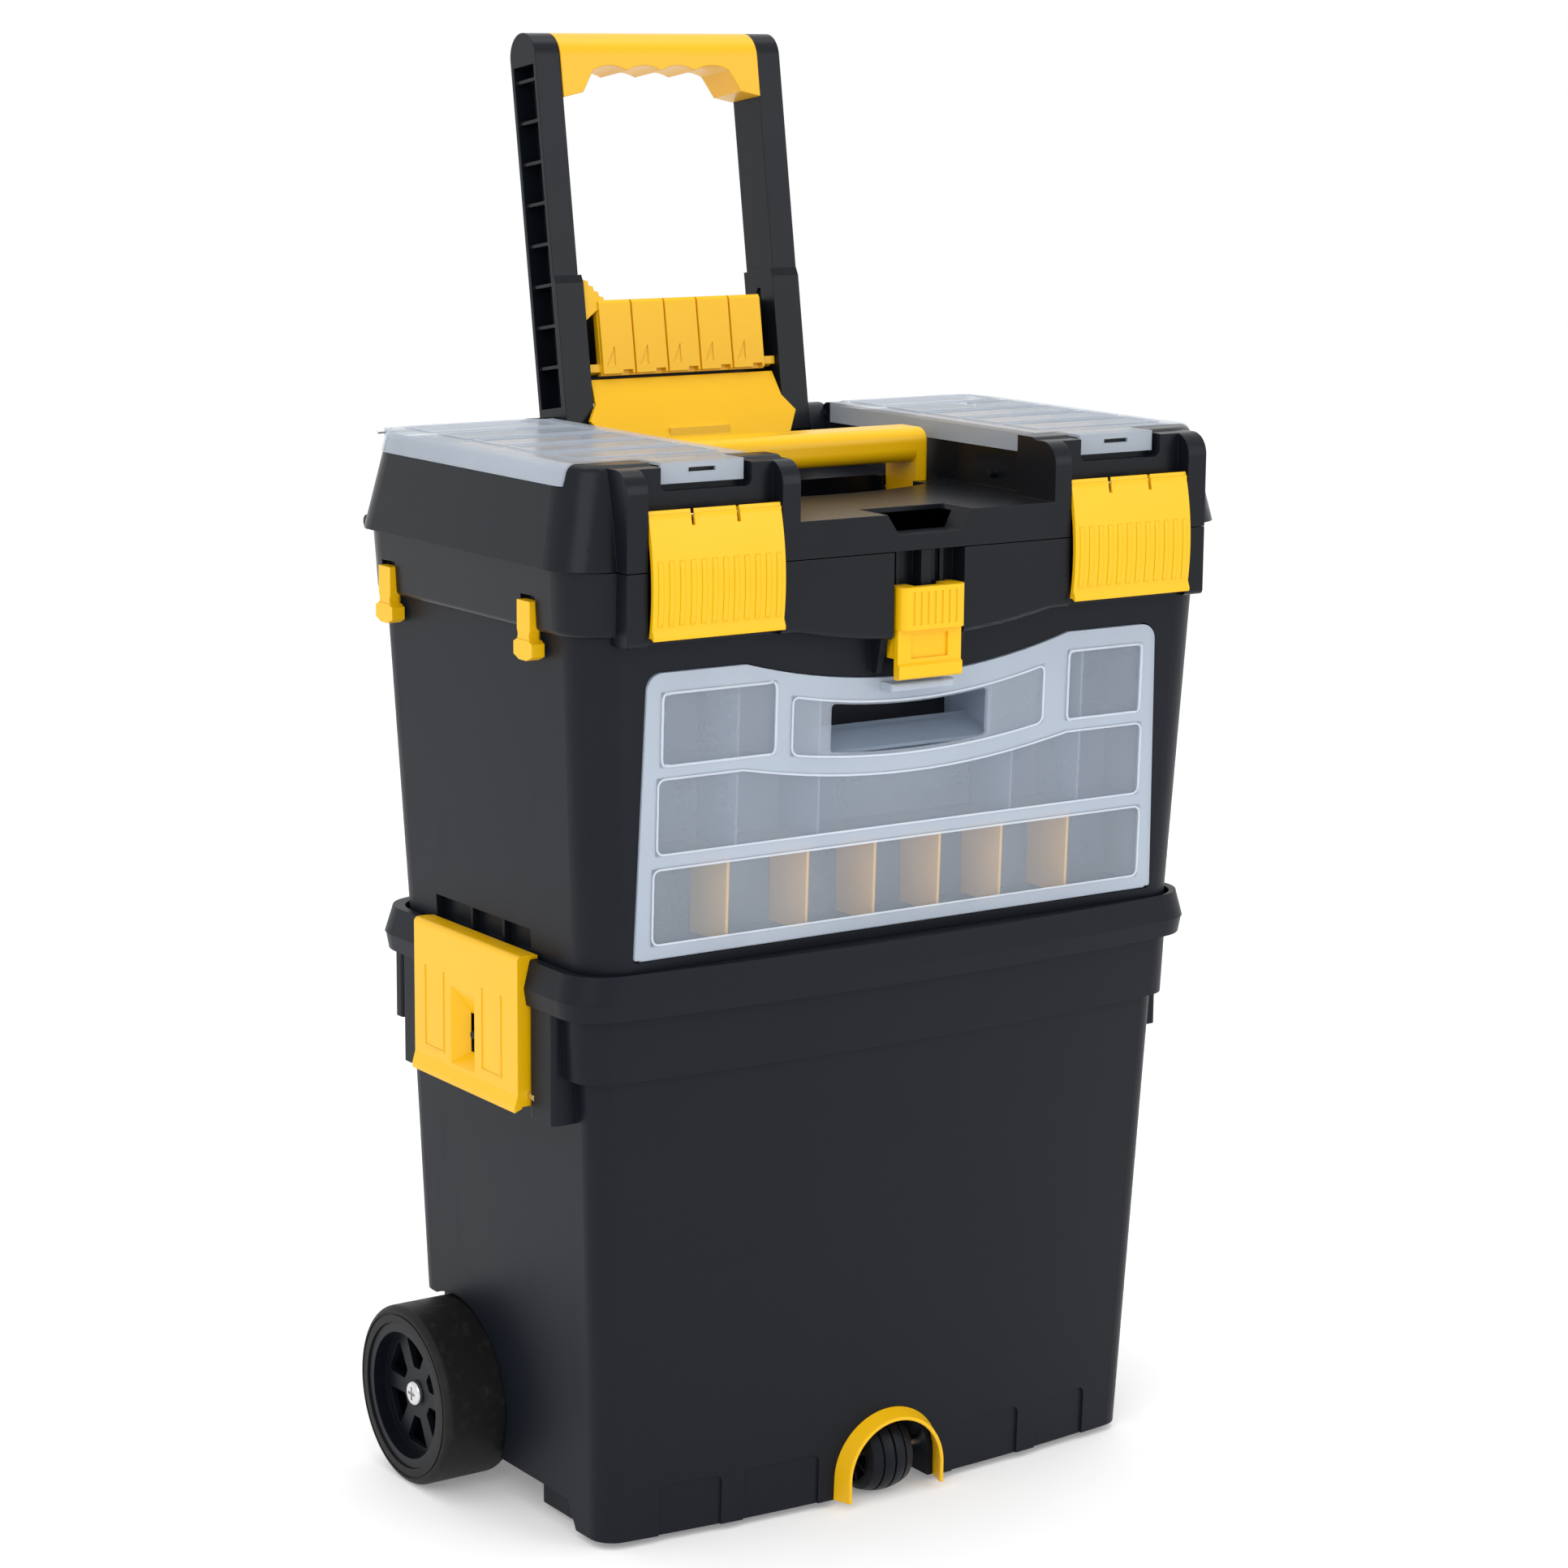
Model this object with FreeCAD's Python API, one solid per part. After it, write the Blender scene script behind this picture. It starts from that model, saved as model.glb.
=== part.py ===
import FreeCAD, Part
import math
import os

from FreeCAD import Vector

# Rolling tool box: a wheeled bin, a lift-off upper box with a pull-out organizer case,
# and a hinged lid that carries two small-parts bays, a carry handle and a folding tow handle.
# Millimetres, X to the right along the front, Y to the back, Z up, floor at Z = 0.

# ---- driving dimensions ----------------------------------------------------------------
WALL = 3.0                      # moulded wall thickness
GAP = 0.4                       # air gap between parts that move past each other
RUN = 0.05                      # radial clearance of a running pin

# lower bin: half width, front at the corners, back, and bow of the front
BIN_BASE = (194.0, -97.0, 110.0, 14.0)
BIN_TOP = (208.0, -109.5, 115.0, 12.0)
BIN_BASE_Z = 4.5
LEDGE_Z = 331.0                 # the upper box rests here
RIM_Z = (326.0, 336.0, 352.0)   # bottom, widest line and top of the bin's rim
APRON_Z = 287.0
NEST = (214.3, -121.0, 114.3, 0.0)

# road wheels
WHEEL_R = 55.2
WHEEL_Y = 67.0
WHEEL_X = (186.0, 235.6)
WHEEL_DISH_X = 225.6
RIM_R = 45.0
SCREW_R = 4.0

# front roller under its hood
ROLLER_R = 24.0
ROLLER_HALF = 16.5
ROLLER_Y = -97.0
HOOD_FOOT = (39.5, 18.5, -108.0)  # radius, centre height and Y of the hood at the wall
HOOD_EDGE = (35.0, 17.0, -122.0)  # the same at its free edge

# latches on the bin's sides
SIDE_LATCH_HALF = 60.5
SIDE_LATCH_Z = (265.0, 355.0)
SIDE_LATCH_X = 228.0
SIDE_PIN = (219.0, 272.0)       # X and Z of the hinge pin
SIDE_PIN_R = 2.5

# upper box
BOX_BASE_Z = LEDGE_Z + GAP
BOX_TOP_Z = 582.0
BOX_BASE = (211.2, -118.0, 111.4, 0.0)
BOX_TOP = (223.9, -126.3, 120.0, 0.0)
COLLAR_Z = 545.0
COLLAR_LOW = (227.5, -129.5, 123.5, 0.0)
COLLAR_HIGH = (229.5, -130.5, 125.0, 0.0)
FRONT_Y = -141.0                # front of the ribs and of the centre band
RIB_OUT = 204.6                 # outer side of the outer ribs
CLIP_Y = (-75.0, 86.0)          # middles of the collar's snap clips

# organizer case in the front of the upper box
CASE_Z = (358.0, 523.0)
CASE_HALF = (186.4, 181.2)      # half width at the bottom and at the top
CASE_DIP_Z = 506.8              # lowest point of the top edge's dip
CASE_DIP_HALF = 115.0
CASE_HINGE = (-118.72, 359.2)   # Y and Z of the front's rounded lower edge
CASE_DEPTH_Y = -76.0
CASE_SKIN = 2.0
SHELF_Z = (414.5, 466.0)        # middles of the two shelves
DIVIDER_X = (-121.7, -66.5, -18.8, 28.0, 73.7, 123.8)
CELL_WALL_X = (-117.3, -60.5, 78.8, 129.7)
FINGER_HALF = 56.0
FINGER_Z = (466.2, 495.0)       # opening's lower and upper edge at its ends
FINGER_SAG = (2.8, 3.7)         # how far each edge dips at the middle
SCOOP = (464.0, 474.5)          # finger scoop's height at its front and at its back

# sliding latch over the organizer
HASP_HALF = 22.5
HASP_Z = (508.0, 537.0, 562.0)

# lid
LID_Z = (BOX_TOP_Z + 0.6, 640.0)
LID_LOW = (235.0, -131.0, 126.0, 0.0)
LID_HIGH = (222.0, -122.0, 119.0, 0.0)
CHANNEL_Z = 604.0               # floor of the channel between the two shoulders
CHANNEL_HALF = 104.6
RIB_IN = 90.2                   # inner side of the inner ribs
LATCH_X = (102.9, 190.3)
SHOULDER_FRONT_Y = -104.0
SHOULDER_BACK_Y = 114.0
CLEAR_SKIRT_Z = 628.0
CLEAR_SKIRT_END = 108.0         # the skirts stop here, clear of the hinge
CLEAR_LEAF_X = (116.4, 213.6)   # the cap runs on to its hinge between these
BAY_X = (107.0, 217.0)
BAY_FLOOR_Z = 604.0
LID_HINGE = (131.5, 582.3)      # Y and Z of the lid's hinge line
HINGE_PIN_R = 1.8
LATCH_PIN = (-136.5, 611.5)     # Y and Z of the front latches' hinge line
LATCH_PIN_R = 1.6
CLEAR_HINGE = (116.6, 637.4)
CLEAR_PIN_R = 1.0

# carry handle, raised
CARRY_HALF = 92.0
CARRY_LEG = 9.0
CARRY_Y = (-13.0, 19.0)
CARRY_Z = (615.0, 636.0)
CARRY_FOOT_Z = 593.0

# tow handle, standing: lengths are measured along the post from its pivot
TOW_AXIS = (128.0, 622.0)
TOW_LEAN = 8.9                  # degrees from upright
TOW_POST_X = (72.0, 89.5)
TOW_DEPTH = 15.0                # half depth of a post
TOW_TOP = 251.0
TOW_STEP = 102.0                # the lower stretch is thicker
TOW_RIB_PITCH = 25.0
TOW_PIN_R = 4.0
GRIP_DROP = 41.0
FLAP_HALF = 60.0
FLAP_SPAN = (39.6, 86.0)
FLAP_PIN = (-5.5, 44.0)
FLAP_PIN_R = 1.5


# ---- helpers -----------------------------------------------------------------------------
def box(x0, x1, y0, y1, z0, z1):
    return Part.makeBox(x1 - x0, y1 - y0, z1 - z0, Vector(x0, y0, z0))


def rod_x(radius, x0, x1, y, z):
    return Part.makeCylinder(radius, x1 - x0, Vector(x0, y, z), Vector(1, 0, 0))


def rod_y(radius, y0, y1, x, z):
    return Part.makeCylinder(radius, y1 - y0, Vector(x, y0, z), Vector(0, 1, 0))


def prism_yz(points, x0, x1):
    corners = [Vector(x0, y, z) for y, z in points]
    return Part.Face(Part.makePolygon(corners + corners[:1])).extrude(Vector(x1 - x0, 0, 0))


def prism_xz(points, y0, y1):
    corners = [Vector(x, y0, z) for x, z in points]
    return Part.Face(Part.makePolygon(corners + corners[:1])).extrude(Vector(0, y1 - y0, 0))


def fuse(*shapes):
    return shapes[0].multiFuse(list(shapes[1:])).removeSplitter()


def mirrored(shape):
    return shape.mirror(Vector(0, 0, 0), Vector(1, 0, 0))


def both_sides(shape):
    return Part.makeCompound([shape, mirrored(shape)])


def fillet_where(shape, radius, chosen):
    edges = [edge for edge in shape.Edges if chosen(edge)]
    return shape.makeFillet(radius, edges) if edges else shape


def runs_along(edge, axis):
    """True for an edge that runs mostly along the axis 'x', 'y' or 'z'."""
    span = edge.BoundBox
    sizes = {"x": span.XLength, "y": span.YLength, "z": span.ZLength}
    longest = sizes.pop(axis)
    return longest > 4.0 * max(sizes.values()) and longest > 1.0


def outline(size, z, grow=0.0):
    """Closed outline at height z: straight sides and back, front bowed by an arc."""
    half, front, back, bow = size
    half, front, back = half + grow, front - grow, back + grow
    left, right = Vector(-half, front, z), Vector(half, front, z)
    if bow:
        edge = Part.Arc(left, Vector(0, front - bow, z), right).toShape()
    else:
        edge = Part.makeLine(left, right)
    rest = [right, Vector(half, back, z), Vector(-half, back, z), left]
    sides = [Part.makeLine(a, b) for a, b in zip(rest, rest[1:])]
    return Part.Wire([edge] + sides)


def tapered_block(low, z_low, high, z_high, corner, grow=0.0):
    """Drafted block between two outlines, with its upright corners rounded."""
    wires = [outline(low, z_low, grow), outline(high, z_high, grow)]
    block = Part.makeLoft(wires, True, True)
    return fillet_where(block, corner,
                        lambda edge: edge.BoundBox.ZLength > 0.9 * (z_high - z_low))


def at_height(low, z_low, high, z_high, z):
    part = (z - z_low) / (z_high - z_low)
    return tuple(a + part * (b - a) for a, b in zip(low, high))


def tunnel(radius, centre_z, y0, y1, foot_z):
    """Round-topped tunnel along Y, with straight legs down to foot_z."""
    legs = box(-radius, radius, y0, y1, foot_z, centre_z)
    return fuse(rod_y(radius, y0, y1, 0, centre_z), legs)


def tunnel_outline(radius, centre_z, y, foot_z):
    left, right = Vector(-radius, y, centre_z), Vector(radius, y, centre_z)
    low_left, low_right = Vector(-radius, y, foot_z), Vector(radius, y, foot_z)
    crown = Part.Arc(left, Vector(0, y, centre_z + radius), right).toShape()
    legs = [Part.makeLine(right, low_right), Part.makeLine(low_right, low_left),
            Part.makeLine(low_left, left)]
    return Part.Wire([crown] + legs)


# ---- lower bin and what is fixed to it ---------------------------------------------------------
def hood_solid(grow):
    foot, edge = HOOD_FOOT, HOOD_EDGE
    wires = [tunnel_outline(foot[0] + grow, foot[1], foot[2], BIN_BASE_Z),
             tunnel_outline(edge[0] + grow, edge[1], edge[2], BIN_BASE_Z)]
    return Part.makeLoft(wires, True, True)


def wheel_well(grow):
    """Space cut out of one lower corner for a wheel, and the undercut in front of it."""
    well_x, sill_x = WHEEL_X[0] - 5.0 - grow, 165.0 - grow
    round_part = rod_x(WHEEL_R + 2.4 + grow, well_x, 240, WHEEL_Y, WHEEL_R)
    rear_part = box(well_x, 240, WHEEL_Y, 130, -1, 108 + grow)
    sill_part = box(sill_x, 240, -18 - grow, 130, -1, 22 + grow)
    toe_part = prism_yz([(-18, -1), (-18, 22 + grow), (-60 - grow, 22 + grow), (-70 - grow, -1)],
                        186.5 - grow, 240)
    return fuse(round_part, rear_part, sill_part, toe_part)


def lower_bin():
    corner = 16.0
    outer = tapered_block(BIN_BASE, BIN_BASE_Z, BIN_TOP, LEDGE_Z, corner)
    apron_low = (213.0, -112.0, 118.0, 12.0)
    apron_high = (214.6, -113.2, 119.0, 12.0)
    apron = tapered_block(apron_low, APRON_Z, apron_high, LEDGE_Z, corner + 4)
    rim_line = (224.0, -121.5, 124.0, 13.0)
    rim_edge = (220.0, -119.4, 121.0, 13.0)
    rim_skirt = tapered_block((222.4, -120.5, 123.0, 13.0), RIM_Z[0], rim_line, RIM_Z[1], 28)
    rim = tapered_block(rim_line, RIM_Z[1], rim_edge, RIM_Z[2], 27)
    body = fuse(outer, apron, rim_skirt, rim)
    pads = []
    for y0, y1, z0 in ((61.5, 88.0, 260.0), (88.0, 98.0, 286.0), (-88.0, -61.5, 260.0)):
        pad = box(200, 221, y0, y1, z0, RIM_Z[0] + 1)
        pads.append(fillet_where(pad, 3, lambda edge: runs_along(edge, "z")
                                 and edge.BoundBox.XMin > 215))
    pads = fuse(*pads)
    body = fuse(body, pads, mirrored(pads))

    cavity = tapered_block(BIN_BASE, 8.0, BIN_TOP, LEDGE_Z + 1, corner - WALL, -WALL)
    housings = fuse(wheel_well(WALL), mirrored(wheel_well(WALL)),
                    tunnel(36.0, 19.0, -125, -64, 0))
    screw_boss = rod_x(9, 160, 185.5, WHEEL_Y, WHEEL_R)
    cavity = cavity.cut(fuse(housings, screw_boss, mirrored(screw_boss)))
    body = body.cut(cavity)
    body = body.cut(tapered_block(NEST, LEDGE_Z, NEST, RIM_Z[2] + 1, 24))
    body = body.cut(fuse(wheel_well(0), mirrored(wheel_well(0))))
    spacer = rod_x(9, 180, WHEEL_X[0] - GAP, WHEEL_Y, WHEEL_R)
    body = fuse(body, spacer, mirrored(spacer))
    body = body.cut(fuse(tunnel(33.0, 19.0, -125, -67, 0), hood_solid(0)))
    axle = rod_x(3, -36, 36, ROLLER_Y, ROLLER_R)
    screws = rod_x(SCREW_R, 163, 240, WHEEL_Y, WHEEL_R)
    pins = rod_y(SIDE_PIN_R, -67, 67, SIDE_PIN[0], SIDE_PIN[1])
    body = body.cut(Part.makeCompound([axle, screws, mirrored(screws), pins, mirrored(pins)]))

    # shallow panels moulded along the foot of the front
    skin = outer.cut(tapered_block(BIN_BASE, BIN_BASE_Z, BIN_TOP, LEDGE_Z, corner, -1.4))
    for x0, x1 in ((50, 102), (117, 158)):
        panel = box(x0, x1, -130, -80, 0, 36)
        panel = fillet_where(panel, 5, lambda edge: runs_along(edge, "y")
                             and edge.BoundBox.ZMin > 20).common(skin)
        body = body.cut(Part.makeCompound([panel, mirrored(panel)]))

    # the rim is thinned behind each latch, and a peg stands in the latch's slot
    seat = box(217.2, 240, -61.0, 61.0, RIM_Z[0] - 1, RIM_Z[2] + 1)
    body = body.cut(fuse(seat, mirrored(seat)))
    peg = rod_x(2.4, 208, 221.5, 3, 294)
    return fuse(body, peg, mirrored(peg))


def caster_hood():
    hood = hood_solid(0).cut(hood_solid(-2.6))
    edges = [edge for edge in hood.Edges if abs(edge.BoundBox.YMin - HOOD_EDGE[2]) < 0.01
             and edge.BoundBox.YLength < 0.01 and edge.BoundBox.ZLength > 5]
    return hood.makeFillet(1.0, edges)


def wheel_screw():
    """Shoulder screw with a pan head and a cross recess."""
    head_x = WHEEL_DISH_X + GAP
    shank = rod_x(SCREW_R, 163, head_x, WHEEL_Y, WHEEL_R)
    head = rod_x(8, head_x, head_x + 3.6, WHEEL_Y, WHEEL_R)
    head = fillet_where(head, 2.6, lambda edge: edge.BoundBox.XMin > head_x + 3)
    recess = [box(head_x + 1.6, head_x + 5, WHEEL_Y - a, WHEEL_Y + a, WHEEL_R - b, WHEEL_R + b)
              for a, b in ((4.2, 0.9), (0.9, 4.2))]
    return fuse(shank, head).cut(fuse(*recess))


# ---- wheels -------------------------------------------------------------------------------------
def wheel_tyre():
    tyre = rod_x(WHEEL_R, WHEEL_X[0], WHEEL_X[1], WHEEL_Y, WHEEL_R)
    tyre = tyre.makeFillet(4.5, [edge for edge in tyre.Edges if edge.BoundBox.XLength < 0.01])
    groove = rod_x(51, WHEEL_X[1] - 0.8, 240, WHEEL_Y, WHEEL_R).cut(
        rod_x(49.6, WHEEL_X[1] - 1, 241, WHEEL_Y, WHEEL_R))
    return tyre.cut(rod_x(RIM_R, 180, 240, WHEEL_Y, WHEEL_R)).cut(groove)


def wheel_hub():
    centre = Vector(0, WHEEL_Y, WHEEL_R)
    flange = rod_x(RIM_R, WHEEL_X[0] + 0.6, WHEEL_X[1] - 1.2, WHEEL_Y, WHEEL_R)
    dish = rod_x(39, WHEEL_DISH_X, 240, WHEEL_Y, WHEEL_R)
    back = rod_x(40, 180, WHEEL_DISH_X - 4, WHEEL_Y, WHEEL_R)
    hub = flange.cut(fuse(dish, back))
    boss = rod_x(10, WHEEL_X[0] + 0.2, WHEEL_DISH_X, WHEEL_Y, WHEEL_R)
    hub = fuse(hub, boss)
    hole = []
    for radius, spread in ((16.0, 13.0), (35.5, 21.0)):
        for side in (-1, 1):
            angle = math.radians(90 + side * spread)
            hole.append((WHEEL_Y + radius * math.cos(angle), WHEEL_R + radius * math.sin(angle)))
    hole = [hole[0], hole[1], hole[3], hole[2]]
    window = prism_yz(hole, WHEEL_DISH_X - 6, WHEEL_DISH_X + 2)
    window = fillet_where(window, 2.0, lambda edge: runs_along(edge, "x"))
    for step in range(6):
        turned = window.copy()
        turned.rotate(centre, Vector(1, 0, 0), 60 * step)
        hub = hub.cut(turned)
    return hub.cut(rod_x(SCREW_R + RUN, 180, 240, WHEEL_Y, WHEEL_R))


def caster_roller():
    shoulder, crown = ROLLER_R - 3.0, ROLLER_HALF - 2.0
    profile = [Vector(-ROLLER_HALF, 3 + RUN, 0), Vector(-ROLLER_HALF, 17.5, 0),
               Vector(-crown, shoulder, 0)]
    arc = Part.Arc(Vector(-crown, shoulder, 0), Vector(0, ROLLER_R, 0), Vector(crown, shoulder, 0))
    tail = [Vector(crown, shoulder, 0), Vector(ROLLER_HALF, 17.5, 0),
            Vector(ROLLER_HALF, 3 + RUN, 0), profile[0]]
    wire = Part.Wire([Part.makePolygon(profile), arc.toShape(), Part.makePolygon(tail)])
    roller = Part.Face(wire).revolve(Vector(0, 0, 0), Vector(1, 0, 0), 360)
    for x in (-8.0, 0.0, 8.0):
        ring = rod_x(30, x - 0.7, x + 0.7, 0, 0).cut(rod_x(ROLLER_R - 2.2, x - 1, x + 1, 0, 0))
        roller = roller.cut(ring)
    pocket = prism_yz([(-1.6, 6.5), (1.6, 6.5), (5.0, 15.0), (-5.0, 15.0)], ROLLER_HALF - 7, 20)
    for step in range(8):
        turned = pocket.copy()
        turned.rotate(Vector(0, 0, 0), Vector(1, 0, 0), 45 * step)
        roller = roller.cut(both_sides(turned))
    roller.translate(Vector(0, ROLLER_Y, ROLLER_R))
    return roller


# ---- latches on the bin's sides --------------------------------------------------------------------
def side_latch():
    low, high = SIDE_LATCH_Z
    half, skin, out = SIDE_LATCH_HALF, 3.0, SIDE_LATCH_X
    plate = box(out - skin, out, -half, half, low, high)
    cap = prism_xz([(214.4, high - 2.6), (214.4, high - 0.6), (220, high), (out, high),
                    (out, high - 3)], -half, half)
    cheek = box(out - 9, out, -half, -half + skin, low + 1, high)
    knuckle = rod_y(5.2, -half, half, SIDE_PIN[0], SIDE_PIN[1])
    web = box(SIDE_PIN[0], out - 1, -half, half, SIDE_PIN[1] - 2.5, SIDE_PIN[1] + 2.5)
    gap = box(200, out - skin, -42, 42, low, low + 14)
    hinge = fuse(knuckle, web).cut(gap)
    latch = fuse(plate, cap, cheek, cheek.mirror(Vector(0, 0, 0), Vector(0, 1, 0)), hinge)
    lip = prism_xz([(out - 3, low), (out + 2, low - 2), (out + 2, low + 1), (out, low + 8)],
                   -half, half)
    latch = fuse(latch, lip)
    latch = latch.makeFillet(3.0, [edge for edge in latch.Edges if runs_along(edge, "y")
                                   and edge.BoundBox.XMin > out - 0.1
                                   and edge.BoundBox.ZMin > high - 1])
    # finger funnel that narrows to a slot
    mouth = Part.makePolygon([Vector(out + 0.1, y, z) for y, z in
                              ((-11, 275), (17, 275), (17, 322), (-11, 322), (-11, 275))])
    throat = Part.makePolygon([Vector(out - 9, y, z) for y, z in
                               ((-2, 283), (8, 283), (8, 306), (-2, 306), (-2, 283))])
    sleeve_mouth = Part.makePolygon([Vector(out - 0.1, y, z) for y, z in
                                     ((-14, 272), (20, 272), (20, 325), (-14, 325), (-14, 272))])
    sleeve_end = Part.makePolygon([Vector(out - 8.9, y, z) for y, z in
                                   ((-4.5, 280), (10.5, 280), (10.5, 309), (-4.5, 309),
                                    (-4.5, 280))])
    latch = fuse(latch, Part.makeLoft([sleeve_mouth, sleeve_end], True, True))
    latch = latch.cut(Part.makeLoft([mouth, throat], True, True))
    for y0, y1 in ((-42, -19), (25, 48)):
        mark = box(out - 1, out + 0.5, y0, y1, 279, 328)
        latch = fuse(latch, mark.cut(box(out - 2, out + 1, y0 + 1.2, y1 - 1.2, 280.2, 330)))
    bore = rod_y(SIDE_PIN_R + RUN, -70, 70, SIDE_PIN[0], SIDE_PIN[1])
    return latch.cut(bore)


# ---- upper box --------------------------------------------------------------------------------------
def box_outer(grow=0.0):
    return tapered_block(BOX_BASE, BOX_BASE_Z, BOX_TOP, BOX_TOP_Z, 24.0 + grow, grow)


def box_front_y(z):
    return at_height(BOX_BASE, BOX_BASE_Z, BOX_TOP, BOX_TOP_Z, z)[1]


def case_face(y, grow=0.0):
    """Outline of the organizer case: trapezium with a dip in its top edge."""
    low, high = CASE_Z[0] - grow, CASE_Z[1] + grow
    wide, narrow = CASE_HALF[0] + grow, CASE_HALF[1] + grow
    corners = [Vector(-CASE_DIP_HALF, y, high), Vector(-narrow, y, high), Vector(-wide, y, low),
               Vector(wide, y, low), Vector(narrow, y, high), Vector(CASE_DIP_HALF, y, high)]
    dip = Part.Arc(corners[-1], Vector(0, y, CASE_DIP_Z + grow), corners[0]).toShape()
    return Part.Face(Part.Wire([Part.makePolygon(corners), dip]))


def case_prism(y0, y1, grow=0.0):
    prism = case_face(y0, grow).extrude(Vector(0, y1 - y0, 0))
    top = fillet_where(prism, 10, lambda edge: runs_along(edge, "y")
                       and edge.BoundBox.ZMin > CASE_Z[1] - 2 and abs(edge.BoundBox.XMin) > 150)
    return fillet_where(top, 3, lambda edge: runs_along(edge, "y")
                        and edge.BoundBox.ZMax < CASE_Z[0] + 2)


def behind_front(depth, reach=-60.0):
    """Everything behind a plane that leans with the case's front, depth behind its face."""
    z0, z1 = 340.0, 540.0
    face = [box_front_y(z) - 1.0 + depth for z in (z0, z1)]
    return prism_yz([(face[0], z0), (face[1], z1), (reach, z1), (reach, z0)], -250, 250)


def box_body():
    outer = box_outer()
    cavity = tapered_block(BOX_BASE, BOX_BASE_Z + WALL, BOX_TOP, BOX_TOP_Z + 1, 22.0, -WALL)
    housing = case_prism(-130, CASE_DEPTH_Y + 4, GAP + 2.5).common(outer)
    slot_back = box(203.5, 214, -52, 62, 349, 370)
    cavity = cavity.cut(fuse(housing, slot_back, mirrored(slot_back)))
    body = outer.cut(cavity).cut(case_prism(-140, CASE_DEPTH_Y + 1.5, GAP + 0.2))
    slot = box(206, 216, -50, 60, 352, 367)
    for y in (-16, 21):
        slot = slot.cut(box(206, 211, y - 1.2, y + 1.2, 351, 368))
    body = body.cut(fuse(slot, mirrored(slot)))
    # slanted ribs beside the latch's channel, down to the organizer
    rib = prism_xz([(25.2, 541), (31, 541), (28.5, 511), (25.2, 511)], FRONT_Y + 3, -122)
    slope = prism_yz([(FRONT_Y, 541), (FRONT_Y + 2, 541), (-129, 509), (FRONT_Y, 505)], 20, 40)
    rib = rib.cut(slope)
    return fuse(body, rib, mirrored(rib))


def box_collar():
    ring = tapered_block(COLLAR_LOW, COLLAR_Z, COLLAR_HIGH, BOX_TOP_Z, 30)
    ring = fillet_where(ring, 3.5, lambda edge: edge.BoundBox.ZMax < COLLAR_Z + 0.1)
    smile = [Vector(-RIB_OUT, FRONT_Y, BOX_TOP_Z), Vector(-RIB_OUT, FRONT_Y, 541),
             Vector(-RIB_IN, FRONT_Y, 541)]
    end = [Vector(RIB_IN, FRONT_Y, 541), Vector(RIB_OUT, FRONT_Y, 541),
           Vector(RIB_OUT, FRONT_Y, BOX_TOP_Z), smile[0]]
    dip = Part.Arc(smile[-1], Vector(0, FRONT_Y, 531), end[0]).toShape()
    wire = Part.Wire([Part.makePolygon(smile), dip, Part.makePolygon(end)])
    bib = Part.Face(wire).extrude(Vector(0, 18, 0))
    bib = fillet_where(bib, 3.0, lambda edge: abs(edge.BoundBox.YMax - FRONT_Y) < 0.01
                       and edge.BoundBox.ZMax < 560)
    collar = fuse(ring, bib)
    recess = box(LATCH_X[0] - 0.6, LATCH_X[1] + 0.6, FRONT_Y - 5, -133.5, 500, 600)
    channel = box(-25, 25, FRONT_Y - 5, -129, 500, 600)
    centre_rib = box(-3.5, 3.5, -137.4, -126, 536, BOX_TOP_Z)
    edge_rib = box(14, 17, -131.4, -126, 536, BOX_TOP_Z)
    collar = fuse(collar.cut(fuse(recess, mirrored(recess), channel)),
                  centre_rib, edge_rib, mirrored(edge_rib))
    for y in CLIP_Y:
        slot = box(224.5, 240, y - 8, y + 8, 540, 565)
        collar = collar.cut(fuse(slot, mirrored(slot)))
    inside = tapered_block(BOX_BASE, BOX_BASE_Z, BOX_TOP, BOX_TOP_Z, 24.0)
    collar = collar.cut(inside).cut(box(-230, 230, -131, 130, BOX_TOP_Z - 0.01, 600))
    y, z = LID_HINGE
    for x in (120, 180):
        knuckle = fuse(rod_x(4.4, x, x + 20, y, z), box(x, x + 20, 122, y, z - 4.4, z - 0.5))
        collar = fuse(collar, knuckle, mirrored(knuckle))
    return collar.cut(rod_x(HINGE_PIN_R, -201, 201, y, z))


def side_clips():
    """Four snap clips that hold the collar down on the box."""
    clips = []
    for y in CLIP_Y:
        stem = box(225, 231.5, y - 7, y + 7, 540, 562)
        waist = box(223.6, 231, y - 5, y + 5, 533, 545)
        foot = prism_yz([(y - 10, 540), (y - 10, 531), (y - 4, 528.5), (y + 4, 528.5),
                         (y + 10, 531), (y + 10, 540)], 223.6, 232)
        bite = [rod_x(4.0, 220, 235, y + side * 10.0, 542.5) for side in (-1, 1)]
        clip = fuse(stem, waist, foot).cut(fuse(*bite))
        clips += [clip, mirrored(clip)]
    return Part.makeCompound(clips)


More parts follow.
